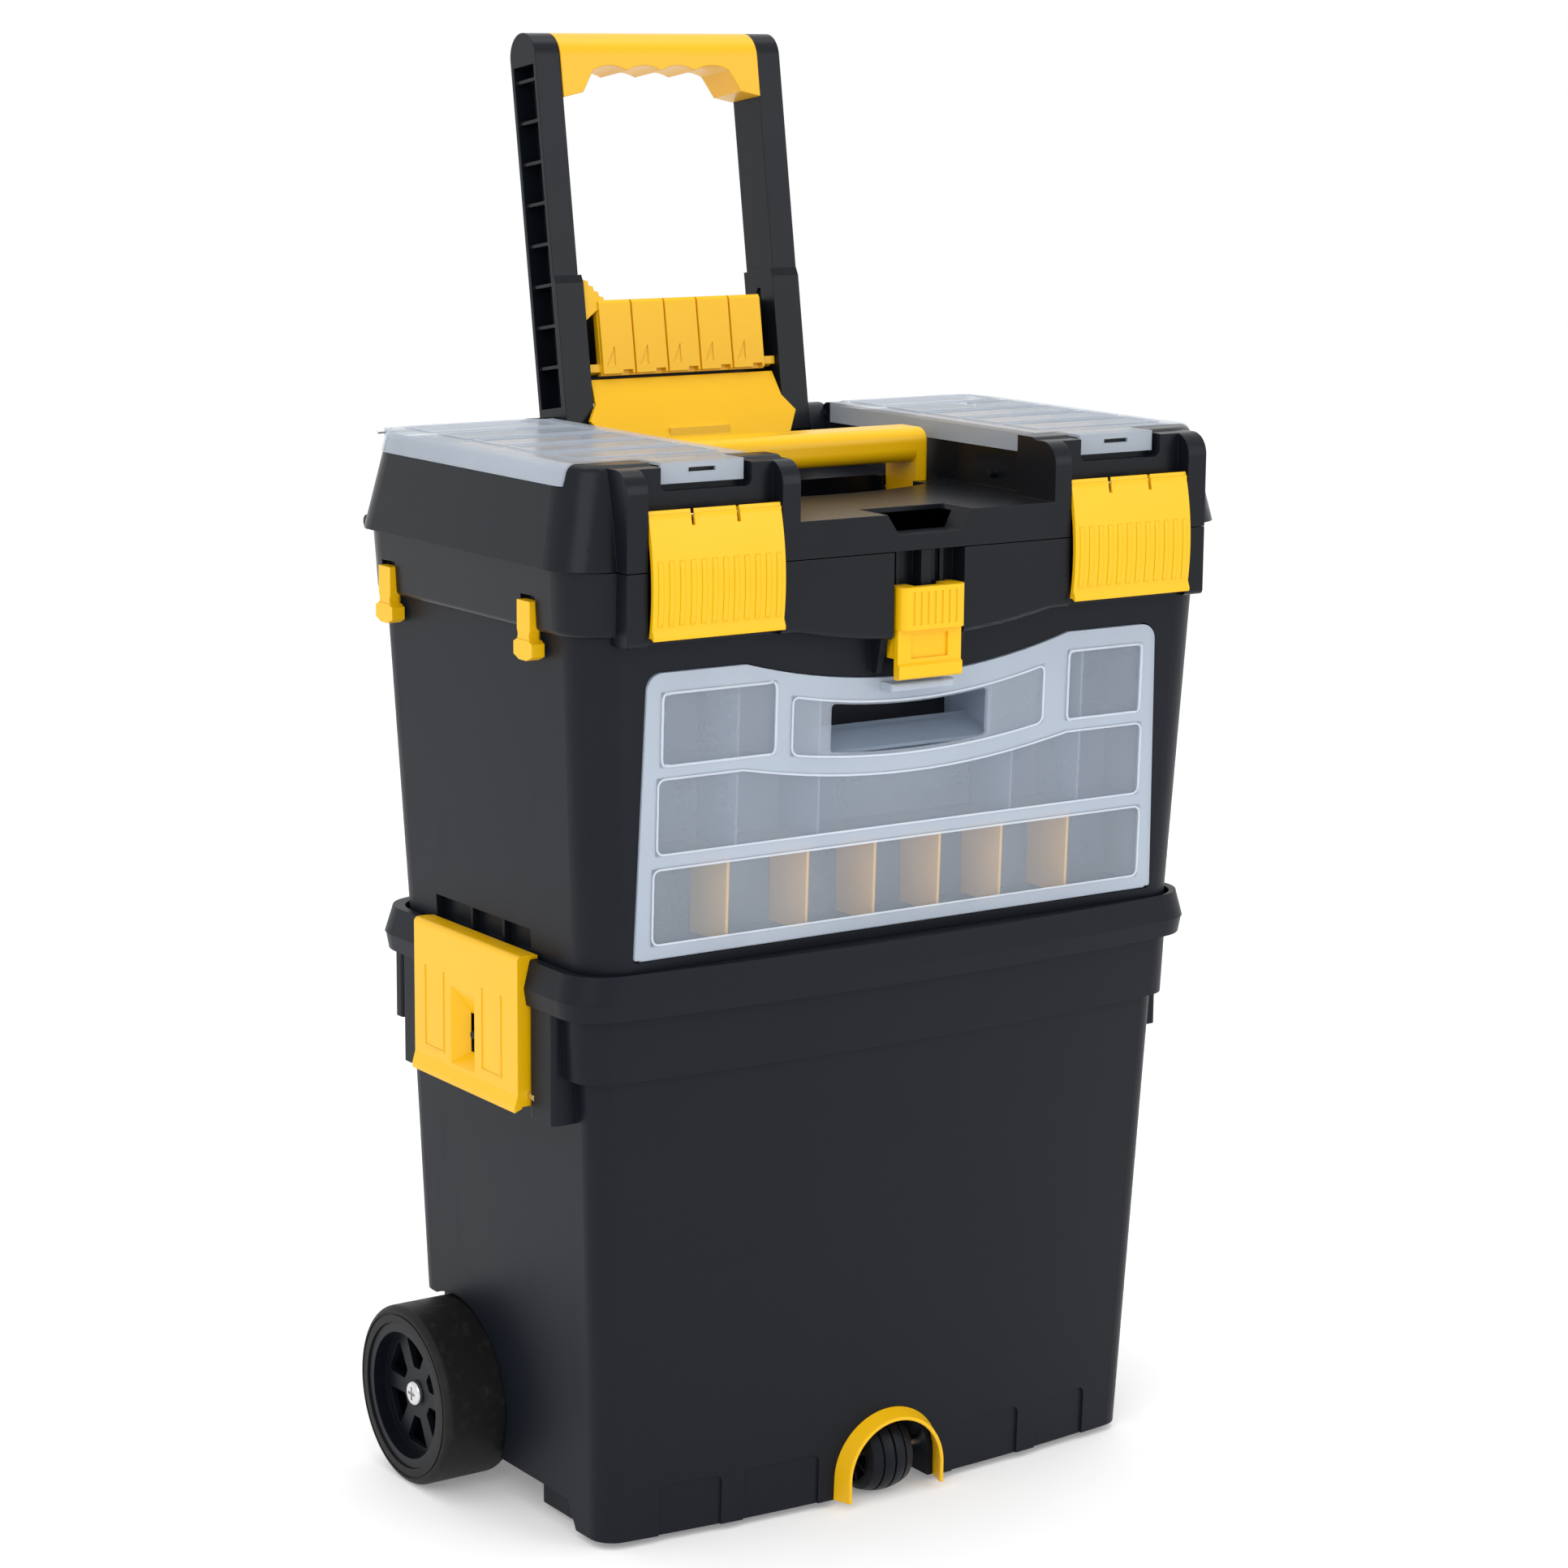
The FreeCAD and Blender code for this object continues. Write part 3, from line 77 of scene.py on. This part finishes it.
class Finish:
    """One procedural material."""

    def __init__(self, name, **constants):
        self.material = bpy.data.materials.new(name)
        self.material.use_nodes = True
        self.tree = self.material.node_tree
        self.shader = self.tree.nodes["Principled BSDF"]
        for socket, value in constants.items():
            self.shader.inputs[socket.replace("_", " ")].default_value = value

    def node(self, kind, settings=(), sockets=()):
        made = self.tree.nodes.new(kind)
        for key, value in dict(settings).items():
            setattr(made, key, value)
        for key, value in dict(sockets).items():
            value = value.socket if isinstance(value, Level) else value
            if isinstance(value, bpy.types.NodeSocket):
                self.tree.links.new(value, made.inputs[key])
            else:
                made.inputs[key].default_value = value
        return made

    def level(self, kind, settings=(), sockets=(), output=0):
        return Level(self, self.node(kind, settings, sockets).outputs[output])

    def where(self, scale=(1, 1, 1)):
        place = self.node("ShaderNodeTexCoord").outputs["Object"]
        return self.node("ShaderNodeMapping", {}, {"Vector": place, "Scale": scale}).outputs[0]

    def noise(self, size_mm, detail=3.0, scale=(1, 1, 1), rough=0.5):
        return self.level("ShaderNodeTexNoise", {}, {
            "Vector": self.where(scale), "Scale": 1000.0 / size_mm, "Detail": detail,
            "Roughness": rough})

    def ramp(self, level, low, high):
        return self.level("ShaderNodeMapRange", {"interpolation_type": "SMOOTHSTEP"},
                          {0: level, 1: low, 2: high})

    def blend(self, level, first, second):
        colour = self.node("ShaderNodeMix", {"data_type": "RGBA"}, {
            "Factor": level, 6: first, 7: second})
        return colour.outputs[2]

    def drive(self, socket, value):
        value = value.socket if isinstance(value, Level) else value
        self.tree.links.new(value, self.shader.inputs[socket])

    def relief(self, height, depth_mm, edge_mm=0.0):
        sockets = {"Height": height, "Distance": depth_mm / 1000.0, "Strength": 1.0}
        if edge_mm:
            sockets["Normal"] = self.node("ShaderNodeBevel", {"samples": 6},
                                          {"Radius": edge_mm / 1000.0}).outputs[0]
        self.drive("Normal", self.node("ShaderNodeBump", {}, sockets).outputs[0])


def grey(value, tint=(1, 1, 1)):
    return tuple(value * part for part in tint) + (1.0,)


def moulded(name, dark, light, roughness, coat=0.0, grain_mm=0.45, depth_mm=0.012, edge_mm=0.7,
            scuffs=0.5, shine=0.14):
    """Injection-moulded plastic: fine spark texture, slow waviness, faint scuffs."""
    finish = Finish(name, Specular_IOR_Level=shine, Coat_Weight=coat, Coat_Roughness=0.25)
    cloud = finish.noise(90.0, 3.0)
    streak = finish.ramp(finish.noise(16.0, 4.0, (1, 1, 0.12)), 0.55, 0.8)
    scratch = finish.ramp(finish.noise(22.0, 6.0, (1.0, 1.0, 0.35), 0.75), 0.66, 0.74) * scuffs
    finish.drive("Base Color", finish.blend(cloud * 0.7 + scratch * 0.3, dark, light))
    finish.drive("Roughness", roughness - 0.04 + cloud * 0.08 + streak * 0.05 + scratch * 0.12)
    wave = finish.noise(60.0, 1.0)
    finish.relief(finish.noise(grain_mm, 2.0) * 0.6 + wave * 14.0, depth_mm, edge_mm)
    return finish.material


def clear_sheet(name, tint, alpha, roughness):
    """Frosted clear plastic: milky, with slow flow marks and soft thickness changes."""
    finish = Finish(name, Roughness=roughness, Specular_IOR_Level=0.55, IOR=1.49)
    flow = finish.noise(110.0, 1.0, (1, 1, 0.5))
    haze = finish.noise(9.0, 2.0)
    bright = tuple(min(1.0, part * 1.18) for part in tint[:3]) + (1.0,)
    finish.drive("Base Color", finish.blend(flow, tint, bright))
    finish.drive("Alpha", alpha - 0.05 + flow * 0.08 + haze * 0.03)
    finish.relief(finish.noise(1.2, 2.0) + flow * 3.0, 0.012)
    return finish.material


def clear_front():
    """Organizer front: milky round its rows of cells, clearer inside them."""
    finish = Finish("clear_front", Roughness=0.22, Specular_IOR_Level=0.4, IOR=1.49)
    at = finish.node("ShaderNodeTexCoord").outputs["Object"]
    place = finish.node("ShaderNodeSeparateXYZ", {}, {"Vector": at})
    x, z = Level(finish, place.outputs["X"]), Level(finish, place.outputs["Z"])
    sag = finish.level("ShaderNodeMath", {"operation": "MAXIMUM"},
                       {0: 1 - x * x * 75.6, 1: 0.0})

    def above(value, edge):
        return finish.ramp(value, edge - 0.0008, edge + 0.0008)

    def below(value, edge):
        return 1 - above(value, edge)

    def across(cell):
        return above(x, cell[0]) * below(x, cell[1])

    low = above(z, ROW_BOTTOM[2]) * below(z, ROW_BOTTOM[3]) * across(ROW_BOTTOM)
    middle = (above(z, ROW_MIDDLE[2]) * below(z + sag * SHALLOW_SAG, ROW_MIDDLE[3])
              * across(ROW_MIDDLE))
    corners = (above(z, CELL_LEFT[2]) * below(z, CELL_LEFT[3])
               * (across(CELL_LEFT) + across(CELL_RIGHT)))
    handle = (above(z + sag * SHALLOW_SAG, HANDLE_PANEL[2])
              * below(z + sag * SAG, HANDLE_PANEL[3]) * across(HANDLE_PANEL))
    clear = low + middle + corners + handle * 0.75
    flow = finish.noise(70.0, 2.0, (1, 1, 0.5))
    finish.drive("Base Color", finish.blend(flow, (0.50, 0.57, 0.67, 1), (0.58, 0.65, 0.75, 1)))
    finish.drive("Alpha", 0.55 - clear * 0.38 + flow * 0.06)
    finish.relief(finish.noise(1.2, 2.0) + flow * 3.0, 0.02)
    return finish.material


def rolled_rubber():
    """Hard wheel tread, dusty where it meets the floor."""
    finish = Finish("tread_polymer", Specular_IOR_Level=0.18)
    dust = finish.ramp(finish.noise(7.0, 5.0), 0.5, 0.85)
    finish.drive("Base Color", finish.blend(dust, grey(0.0085), grey(0.021, (1, 0.98, 0.95))))
    finish.drive("Roughness", 0.5 + dust * 0.2)
    finish.relief(finish.noise(0.8, 4.0) + dust * 2.0, 0.03, 0.5)
    return finish.material


def bright_zinc():
    """Plated steel with fine turning marks."""
    finish = Finish("bright_zinc", Metallic=1.0)
    marks = finish.noise(0.5, 3.0, (6, 1, 1))
    stain = finish.noise(5.0, 3.0)
    finish.drive("Base Color", finish.blend(stain, grey(0.55), grey(0.82, (1, 1, 1.02))))
    finish.drive("Roughness", 0.14 + marks * 0.16 + stain * 0.06)
    finish.relief(marks, 0.006, 0.3)
    return finish.material


BLUE_BLACK = (0.72, 0.93, 1.42)
BLACK = moulded("black_shell", grey(0.0078, BLUE_BLACK), grey(0.0120, BLUE_BLACK), 0.42)
BLACK_SATIN = moulded("black_gloss_shell", grey(0.0062, BLUE_BLACK), grey(0.0098, BLUE_BLACK),
                      0.28, grain_mm=0.7, shine=0.18)
WHEEL_BLACK = moulded("wheel_black", grey(0.006, BLUE_BLACK), grey(0.010, BLUE_BLACK), 0.36)
YELLOW = moulded("yellow_shell", (0.84, 0.46, 0.001, 1), (0.90, 0.515, 0.001, 1), 0.34,
                 coat=0.06, grain_mm=0.6, depth_mm=0.008, scuffs=0.25, shine=0.3)
GRIP_YELLOW = moulded("grip_yellow", (0.82, 0.41, 0.001, 1), (0.88, 0.465, 0.002, 1), 0.30,
                      coat=0.15, grain_mm=0.9, depth_mm=0.008, edge_mm=1.2, scuffs=0.3, shine=0.3)
TAN = moulded("tan_plate", (0.86, 0.49, 0.10, 1), (0.95, 0.58, 0.15, 1), 0.45, scuffs=0.2)
CLEAR = clear_front()
CLEAR_CASE = clear_sheet("clear_case", (0.34, 0.42, 0.53, 1), 0.40, 0.30)
CLEAR_CAP = clear_sheet("clear_cap", (0.50, 0.56, 0.64, 1), 0.46, 0.22)
CLEAR_BEAD = clear_sheet("clear_bead", (0.70, 0.76, 0.84, 1), 0.45, 0.18)
TREAD = rolled_rubber()
ZINC = bright_zinc()

FINISHES = {
    "lower_bin": BLACK, "box_body": BLACK, "box_collar": BLACK_SATIN, "lid_shell": BLACK_SATIN,
    "tow_frame": BLACK_SATIN, "wheel_hub_left": WHEEL_BLACK, "wheel_hub_right": WHEEL_BLACK,
    "caster_roller": WHEEL_BLACK, "wheel_tyre_left": TREAD, "wheel_tyre_right": TREAD,
    "tow_grip": GRIP_YELLOW, "organizer_dividers": TAN, "organizer_case": CLEAR_CASE,
    "organizer_lid": CLEAR, "clear_lid_left": CLEAR_CAP, "clear_lid_right": CLEAR_CAP,
    "bay_dividers": TAN,
}
for pin in ("caster_axle", "wheel_screws", "side_latch_pins", "lid_hinge_pins",
            "front_latch_pins", "clear_lid_pins", "tow_pivots", "flap_pin"):
    FINISHES[pin] = ZINC
for name, node in NODES.items():
    node.data.materials.clear()
    node.data.materials.append(FINISHES.get(name, YELLOW))


# ---- making pieces -----------------------------------------------------------------------
def begin(add, name, **where):
    """Adds a primitive with nothing else selected."""
    if bpy.context.object and bpy.context.object.mode != "OBJECT":
        bpy.ops.object.mode_set(mode="OBJECT")
    bpy.ops.object.select_all(action="DESELECT")
    add(**where)
    piece = bpy.context.active_object
    piece.name = piece.data.name = name
    bpy.ops.object.transform_apply(location=True, rotation=True, scale=True)
    return piece


def pick(piece, wanted, kind="VERT"):
    """Selects the vertices or faces for which wanted(place or face) holds; edit mode stays on."""
    bpy.ops.object.mode_set(mode="EDIT")
    bpy.ops.mesh.select_mode(type=kind)
    bpy.ops.mesh.select_all(action="DESELECT")
    work = bmesh.from_edit_mesh(piece.data)
    if kind == "VERT":
        for corner in work.verts:
            corner.select_set(wanted(corner.co))
    else:
        for face in work.faces:
            face.select_set(wanted(face))
    work.select_flush_mode()
    bmesh.update_edit_mesh(piece.data)


def lean(z):
    """Y of the organizer front's outer face at height z, in metres."""
    return LEAN_FOOT - LEAN_RUN * (z - LEAN_Z[0]) / (LEAN_Z[1] - LEAN_Z[0])


def apply_modifiers(piece, modifiers):
    bpy.ops.object.mode_set(mode="OBJECT")
    for kind, settings in modifiers:
        added = piece.modifiers.new(kind.lower(), kind)
        for key, value in settings.items():
            setattr(added, key, value)
        bpy.ops.object.modifier_apply(modifier=added.name)


def finish_piece(piece, body, material, modifiers=()):
    """Applies the modifiers, smooths, and hands the piece to its body and slot."""
    apply_modifiers(piece, modifiers)
    bpy.ops.object.shade_smooth_by_angle(angle=SMOOTH_ANGLE)
    piece.data.materials.clear()
    piece.data.materials.append(material)
    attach(piece, body)
    return piece


def join(first, others, name):
    bpy.ops.object.mode_set(mode="OBJECT")
    bpy.ops.object.select_all(action="DESELECT")
    for piece in others:
        piece.select_set(True)
    first.select_set(True)
    bpy.context.view_layer.objects.active = first
    bpy.ops.object.join()
    first.name = first.data.name = name
    return first


def raised_outline(name, cell, floor_dip=None, ceiling_dip=None):
    """Closed bead round one cell of the organizer's front, whose lower and upper edge may dip."""
    left, right, low, high = cell
    floor, ceiling = ((lambda x, z=z, dips=dips: z + (dips(x) if dips else 0.0))
                      for z, dips in ((low, floor_dip), (high, ceiling_dip)))
    width, height, corner, columns = 0.0014, 0.0008, 0.005, 24
    piece = begin(bpy.ops.mesh.primitive_grid_add, name, x_subdivisions=columns,
                  y_subdivisions=1, size=1, location=(0, 0, 0), rotation=(math.pi / 2, 0, 0))
    for step in range(columns + 1):
        start = -0.5 + step / columns
        x = left + (right - left) * step / columns
        for end, height_at in ((-0.5, floor), (0.5, ceiling)):
            z = height_at(x)
            pick(piece, lambda co: abs(co.x - start) < 1e-4 and abs(co.z - end) < 1e-4
                 and abs(co.y) < 1e-6)
            bpy.ops.transform.translate(value=(x - start + 9.0, lean(z) - 0.0002, z - end))
    pick(piece, lambda co: True)
    bpy.ops.transform.translate(value=(-9.0, 0, 0))
    ends = [(x, edge(x)) for x in (left, right) for edge in (floor, ceiling)]
    pick(piece, lambda co: any(math.hypot(co.x - x, co.z - z) < 1e-4 for x, z in ends))
    bpy.ops.mesh.bevel(offset=corner, segments=4, affect="VERTICES")
    bpy.ops.mesh.select_mode(type="FACE")
    bpy.ops.mesh.select_all(action="SELECT")
    bpy.ops.mesh.inset(thickness=width, use_boundary=True, use_even_offset=True)
    bpy.ops.mesh.delete(type="FACE")
    return finish_piece(piece, "organizer_front", CLEAR_BEAD, [
        ("SOLIDIFY", {"thickness": height, "offset": 1.0}),
        ("BEVEL", {"width": 0.00045, "segments": 2, "limit_method": "ANGLE"})])


def dip(depth):
    """Sagging curve: 0 beyond the half width, -depth at the middle."""
    return lambda x: -depth * max(0.0, 1 - (x / SAG_HALF) ** 2)


def organizer_relief():
    sag, shallow = dip(SAG), dip(SHALLOW_SAG)
    raised_outline("cell_top_left", CELL_LEFT)
    raised_outline("cell_top_right", CELL_RIGHT)
    raised_outline("panel_handle", HANDLE_PANEL, shallow, sag)
    raised_outline("row_middle", ROW_MIDDLE, None, shallow)
    raised_outline("row_bottom", ROW_BOTTOM)


def rib(name, x, z_low, z_high, y_of, width, height):
    """One vertical flute that follows a bowed face."""
    steps = 8
    piece = begin(bpy.ops.mesh.primitive_grid_add, name, x_subdivisions=2, y_subdivisions=steps,
                  size=1, location=(0, 0, 0), rotation=(math.pi / 2, 0, 0))
    for step in range(steps + 1):
        start = -0.5 + step / steps
        z = z_low + (z_high - z_low) * step / steps
        pick(piece, lambda co: abs(co.z - start) < 1e-4 and abs(co.y) < 1e-6)
        bpy.ops.transform.resize(value=(width, 1, 1))
        bpy.ops.transform.translate(value=(x, y_of(z) - 0.00005, z - start))
    apply_modifiers(piece, [
        ("SOLIDIFY", {"thickness": height, "offset": 1.0}),
        ("BEVEL", {"width": height * 0.45, "segments": 2, "limit_method": "ANGLE"})])
    return piece


def row_of_ribs(name, body, material, count, x_first, pitch, z_low, z_high, y_of,
                width=0.0034, height=0.00028):
    first = rib(name, x_first, z_low, z_high, y_of, width, height)
    copies = []
    for index in range(1, count):
        copy = first.copy()
        copy.data = first.data.copy()
        bpy.context.scene.collection.objects.link(copy)
        bpy.ops.object.select_all(action="DESELECT")
        copy.select_set(True)
        bpy.context.view_layer.objects.active = copy
        bpy.ops.transform.translate(value=(pitch * index, 0, 0))
        bpy.ops.object.transform_apply(location=True, rotation=False, scale=False)
        copies.append(copy)
    return finish_piece(join(first, copies, name), body, material)


def through(points):
    """Height-to-depth curve through three points (y, z), as a parabola."""
    (y0, z0), (y1, z1), (y2, z2) = points

    def y_of(z):
        return (y0 * (z - z1) * (z - z2) / ((z0 - z1) * (z0 - z2))
                + y1 * (z - z0) * (z - z2) / ((z1 - z0) * (z1 - z2))
                + y2 * (z - z0) * (z - z1) / ((z2 - z0) * (z2 - z1)))
    return y_of


def latch_relief():
    """Shallow flutes on the lower half of both front latches."""
    bow = through([(-0.15588, 0.616), (-0.16188, 0.582), (-0.16008, 0.546)])
    for side, x_first in (("left", -0.1853), ("right", 0.1078)):
        row_of_ribs("front_latch_flutes_" + side, "front_latch_" + side, YELLOW,
                    12, x_first, 0.0071, 0.5525, 0.5885, bow)


organizer_relief()
latch_relief()


# ---- floor, light and camera -------------------------------------------------------------
def paper_floor():
    floor = begin(bpy.ops.mesh.primitive_plane_add, "paper_floor", size=1, location=(0, 0, 0))
    bpy.ops.object.mode_set(mode="EDIT")
    bpy.ops.mesh.select_all(action="SELECT")
    bpy.ops.transform.resize(value=(14, 14, 1))
    bpy.ops.object.mode_set(mode="OBJECT")
    finish = Finish("paper", Specular_IOR_Level=0.1, Emission_Color=(1, 1, 1, 1),
                    Emission_Strength=0.2)
    fibre = finish.noise(30.0, 3.0)
    finish.drive("Base Color", finish.blend(fibre, grey(0.86), grey(0.89)))
    finish.drive("Roughness", 0.8 + fibre * 0.1)
    floor.data.materials.append(finish.material)


def soft_light(name, place, aim, size, power, colour=(1, 1, 1)):
    data = bpy.data.lights.new(name, "AREA")
    data.shape, data.size, data.size_y = "RECTANGLE", size[0], size[1]
    data.energy, data.color = power, colour
    lamp = bpy.data.objects.new(name, data)
    bpy.context.scene.collection.objects.link(lamp)
    lamp.location = place
    lamp.rotation_euler = (Vector(aim) - Vector(place)).to_track_quat("-Z", "Y").to_euler()


def studio():
    world = bpy.data.worlds.new("white_room")
    world.use_nodes = True
    world.node_tree.nodes["Background"].inputs["Color"].default_value = (1.0, 1.0, 1.0, 1)
    world.node_tree.nodes["Background"].inputs["Strength"].default_value = 1.0
    bpy.context.scene.world = world
    soft_light("key_left", (-2.2, -1.6, 1.9), (0, 0, 0.45), (1.6, 1.6), 14)
    soft_light("front_right", (1.5, -2.6, 1.4), (0, 0, 0.45), (1.2, 1.6), 12)
    soft_light("top", (0.1, 0.1, 2.6), (0, 0, 0.5), (1.8, 1.8), 16)


def camera():
    data = bpy.data.cameras.new("studio_camera")
    data.lens, data.sensor_width = 90.4, 36.0
    data.clip_end = 50.0
    eye = bpy.data.objects.new("studio_camera", data)
    bpy.context.scene.collection.objects.link(eye)
    place, aim = Vector((-1.330, -1.96408, 0.8843)), Vector((-0.004, -0.01668, 0.42205))
    turn = (aim - place).to_track_quat("-Z", "Y").to_matrix().to_4x4()
    roll = Matrix.Rotation(math.radians(0.48), 4, "Z")
    eye.matrix_world = Matrix.Translation(place) @ turn @ roll
    bpy.context.scene.camera = eye


paper_floor()
studio()
camera()
bpy.context.scene.view_settings.view_transform = "Standard"
